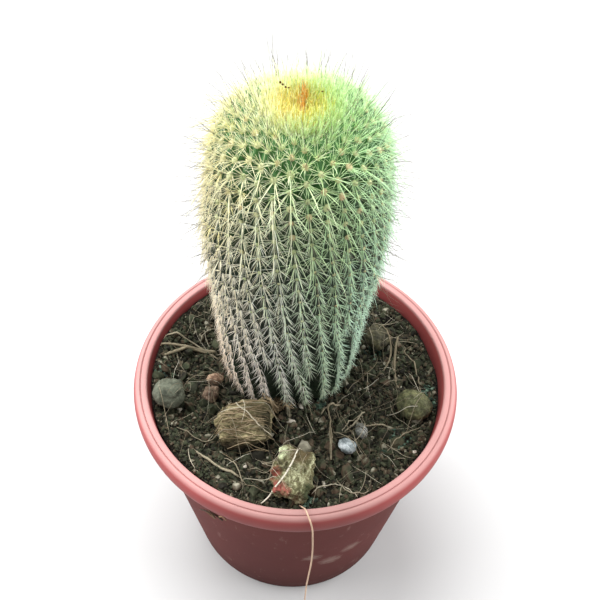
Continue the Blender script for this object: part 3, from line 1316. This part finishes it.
def make_fibres(tree):
    straws = Strands(7)
    for name, start, middle, end, thickness, tone in STRAWS:
        places = curve_places(start, middle, end, 16, 0.03, len(name))
        straws.add(laid_path(places, tree, 0.4 * thickness * MM), thickness * MM, tone, 0.6)
    dry = strand_material("dry stalk", (255, 255, 255))
    dress(straws.build("straws", dry), "dry_stalk", *[row[0] for row in STRAWS])
    fibres = Strands(5)
    for index, (start, middle, end, thickness, tone) in enumerate(FIBRES):
        places = curve_places(start, middle, end, 18, 0.12, index)
        fibres.add(laid_path(places, tree, 0.5 * thickness * MM, 0.6 * MM), thickness * MM, tone)
    chance = np.random.default_rng(14)
    for index in range(ROOTLETS):
        places = rootlet_places(chance)
        if len(places) < ROOTLET_SHORTEST:
            continue
        thickness = (0.06 + 0.12 * chance.random()**2) * MM
        path = laid_path(places, tree, thickness, chance.uniform(0.0, 1.2) * MM)
        fibres.add(path, thickness, chance.beta(1.7, 1.5))
    dress(fibres.build("rootlets", dry), "dry_stalk")


def make_husk_fibres(tree):
    chance = np.random.default_rng(23)
    low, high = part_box("husk_chunk")
    fibres = Strands(4)

    def lay(places, thickness_mm, arch_mm, tone):
        thickness = chance.uniform(*thickness_mm) * MM
        path = laid_path(places, tree, 0.5 * thickness, chance.uniform(*arch_mm) * MM)
        fibres.add(path, thickness, chance.uniform(*tone))

    for index in range(HUSK_FIBRES):
        x = chance.uniform(low.x - 1.0 * MM, high.x - 6.5 * MM)
        y = chance.uniform(low.y, high.y)
        reach = chance.uniform(2.5, 8.5) * MM
        turn = chance.normal(0.0, 0.22)
        bow = chance.normal(0.0, 0.5) * MM
        places = [(x + reach * t, y + reach * t * turn + bow * sin(pi * t)) for t in np.linspace(0.0, 1.0, 9)]
        lay(places, thickness_mm=(0.10, 0.24), arch_mm=(0.0, 0.5), tone=(0.35, 0.85))
    for index in range(HUSK_CURLS):
        x = high.x + chance.normal(0.4, 1.5) * MM
        y = high.y + chance.normal(0.3, 1.0) * MM
        size = chance.uniform(0.7, 2.0) * MM
        start = chance.uniform(0.0, tau)
        sweep = chance.uniform(2.0, 4.2)
        turns = [start + sweep * t for t in np.linspace(0.0, 1.0, 12)]
        places = [(x + size * cos(turn), y + 0.7 * size * sin(turn)) for turn in turns]
        lay(places, thickness_mm=(0.18, 0.40), arch_mm=(0.6, 3.0), tone=(0.5, 0.92))
    dress(fibres.build("husk_fibres", strand_material("husk fibre", (255, 240, 224))), "husk")


def smooth_path(points_mm, steps):
    """A smooth line through the points, with some steps between each two."""
    curves = [[(i, point[axis]) for i, point in enumerate(points_mm)] for axis in range(3)]
    return [[smooth_curve(curve, index / steps) * MM for curve in curves]
            for index in range((len(points_mm) - 1) * steps + 1)]


def make_rim_root():
    root = Strands(7)
    root.add(smooth_path(RIM_ROOT_MM, 4), RIM_ROOT_WIDTH, 0.89, 0.5)
    dress(root.build("rim_root", strand_material("rim root", (255, 226, 218))), "dry_stalk")


def make_rim_scraps():
    scraps = Strands(6)
    for index, scrap in enumerate(RIM_SCRAPS):
        points = [(radius * sin(radians(turn)), -radius * cos(radians(turn)), height)
                  for turn, radius, height in scrap]
        scraps.add(smooth_path(points, 5), RIM_SCRAP_WIDTH, 0.08 + 0.30 * index, 0.4)
    dress(scraps.build("rim_scraps", strand_material("withered scrap", (255, 214, 196))), "dry_stalk")


# Pot

def pot_profile():
    """Radius and height, from the floor's middle up the inside and down the outside."""
    floor_top = FOOT_RING_HEIGHT + FLOOR_THICKNESS
    floor_radius = wall_inner_radius(floor_top)
    points = [(floor_radius * step / 4, floor_top) for step in range(4)]
    points.append((floor_radius - FOOT_ROUND, floor_top))
    low = floor_top + FOOT_ROUND
    for step in range(WALL_STEPS + 1):
        height = low + (POT_HEIGHT - GROOVE_SIZE - low) * step / WALL_STEPS
        points.append((wall_inner_radius(height), height))
    edge = 0.3 * GROOVE_SIZE
    points += [(LIP_INNER_RADIUS + edge, POT_HEIGHT - edge), (LIP_INNER_RADIUS + GROOVE_SIZE, POT_HEIGHT),
               ((LIP_INNER_RADIUS + GROOVE_RADIUS) / 2, POT_HEIGHT),
               (GROOVE_RADIUS - GROOVE_SIZE, POT_HEIGHT),
               (GROOVE_RADIUS - edge, POT_HEIGHT - edge), (GROOVE_RADIUS, POT_HEIGHT - GROOVE_SIZE)]
    shoulder = GROOVE_RADIUS + GROOVE_SIZE
    for step in range(RIM_STEPS + 1):
        angle = step / RIM_STEPS * pi / 2
        points.append((shoulder + (RIM_RADIUS - shoulder) * sin(angle),
                       POT_HEIGHT - RIM_WIDEST_BELOW_LIP * (1 - cos(angle))))
    for step in range(1, RIM_STEPS + 1):
        part = step / RIM_STEPS
        drop = RIM_WIDEST_BELOW_LIP + (BAND_DEPTH - RIM_WIDEST_BELOW_LIP) * part
        points.append((RIM_RADIUS - (RIM_RADIUS - BAND_FOOT_RADIUS) * part**2, POT_HEIGHT - drop))
    hollow_top = POT_HEIGHT - BAND_HOLLOW_TOP
    points += [(BAND_FOOT_RADIUS - BAND_THICKNESS, POT_HEIGHT - BAND_DEPTH),
               (RIM_RADIUS - BAND_THICKNESS - GROOVE_SIZE, hollow_top)]
    for step in range(WALL_STEPS + 1):
        height = hollow_top + (FOOT_ROUND - hollow_top) * step / WALL_STEPS
        points.append((wall_inner_radius(height) + WALL, height))
    ring_inner = FOOT_RADIUS - FOOT_ROUND - FOOT_RING_WIDTH
    points += [(FOOT_RADIUS - 0.3 * FOOT_ROUND, 0.3 * FOOT_ROUND), (FOOT_RADIUS - FOOT_ROUND, 0.0),
               (ring_inner, 0.0), (ring_inner - FOOT_RING_SLOPE, FOOT_RING_HEIGHT)]
    return points + [(ring_inner * step / 4, FOOT_RING_HEIGHT) for step in range(3, -1, -1)]


def make_pot():
    shape = bmesh.new()
    verts = [shape.verts.new((radius, 0.0, height)) for radius, height in pot_profile()]
    for start, end in zip(verts, verts[1:]):
        shape.edges.new((start, end))
    pot = add_shape("pot_shell", shape, pot_material())
    turn = pot.modifiers.new("turn", 'SCREW')
    turn.axis = 'Z'
    turn.steps = POT_STEPS
    turn.render_steps = POT_STEPS
    turn.use_merge_vertices = True
    turn.merge_threshold = 0.01 * MM
    turn.use_normal_calculate = True
    cutters = bpy.data.collections.new("cutters")
    bpy.context.scene.collection.children.link(cutters)
    for index in range(DRAIN_HOLES):
        angle = tau * index / DRAIN_HOLES + pi / 2
        hole = bmesh.new()
        bmesh.ops.create_cone(hole, cap_ends=True, segments=36, radius1=DRAIN_RADIUS, radius2=DRAIN_RADIUS,
                              depth=4 * FLOOR_THICKNESS)
        cutter = add_shape("drain_cutter", hole)
        cutter.location = (cos(angle) * DRAIN_CIRCLE, sin(angle) * DRAIN_CIRCLE, FOOT_RING_HEIGHT)
        cutters.objects.link(cutter)
    drill = pot.modifiers.new("drain holes", 'BOOLEAN')
    drill.operation = 'DIFFERENCE'
    drill.operand_type = 'COLLECTION'
    drill.collection = cutters
    apply_modifiers(pot)
    for cutter in list(cutters.objects):
        bpy.data.objects.remove(cutter)
    bpy.data.collections.remove(cutters)
    pot.data.shade_smooth()
    pot.data.set_sharp_from_angle(angle=radians(42))
    dress(pot, "pot_plastic", "pot")


# Stage

def make_floor():
    points = [(x * FLOOR_HALF, y * FLOOR_HALF, 0.0) for x, y in ((-1, -1), (1, -1), (1, 1), (-1, 1))]
    floor_material = Paint("pale floor", roughness=0.8, specular=0.2).finish(FLOOR_GREY)
    floor = add_object("floor", points, [(0, 1, 2, 3)], floor_material, smooth=False)


def make_lights():
    """Three soft lights that look at the rim's middle, and an even white world."""
    for name, place, size, power in LIGHTS:
        lamp = bpy.data.lights.new(name, 'AREA')
        lamp.shape = 'DISK'
        lamp.size = size
        lamp.energy = power
        light = link_object(name, lamp)
        light.location = place
        light.rotation_mode = 'QUATERNION'
        light.rotation_quaternion = (UP * POT_HEIGHT - Vector(place)).to_track_quat('-Z', 'Y')
    world = bpy.data.worlds.new("studio")
    world.use_nodes = True
    background = world.node_tree.nodes["Background"]
    background.inputs["Color"].default_value = (1.0, 1.0, 1.0, 1.0)
    background.inputs["Strength"].default_value = WORLD_STRENGTH
    bpy.context.scene.world = world
    bpy.context.scene.view_settings.view_transform = 'Standard'


def make_camera():
    """Stands as far from the rim's middle as the photographer did, and looks a little above it."""
    back = Vector((0.0, -cos(CAMERA_ELEVATION), sin(CAMERA_ELEVATION))) * CAMERA_DISTANCE
    turn = Matrix.Rotation(pi / 2 - CAMERA_ELEVATION + CAMERA_PITCH, 4, 'X')
    turn = turn @ Matrix.Rotation(-CAMERA_YAW, 4, 'Y') @ Matrix.Rotation(CAMERA_ROLL, 4, 'Z')
    lens = bpy.data.cameras.new("camera")
    lens.lens = CAMERA_LENS
    lens.sensor_width = CAMERA_SENSOR
    lens.clip_start = 0.005
    camera = link_object("camera", lens)
    camera.matrix_world = Matrix.Translation(UP * POT_HEIGHT + back) @ turn
    bpy.context.scene.camera = camera


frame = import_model()
make_camera()
make_lights()
make_floor()
areoles = place_areoles()
spine = spine_material()
make_skin(tubercle_shape(areoles))
make_wool(areoles)
make_spines(areoles, spine)
make_crown(spine)
make_dome_bristles(spine)
make_crown_specks()
soil_tree = tree_of([frame["nodes"]["soil"].data])
make_ground()
make_grains()
make_moss_bits()
make_chips()
make_chunks()
make_stones()
resting = ["ground", "husk_torn", "bark_torn", "lumps"] + [row[1] for row in STONES]
top_tree = tree_of([bpy.data.objects[name].data for name in resting])
make_fibres(top_tree)
make_husk_fibres(top_tree)
make_rim_root()
make_rim_scraps()
make_pot()
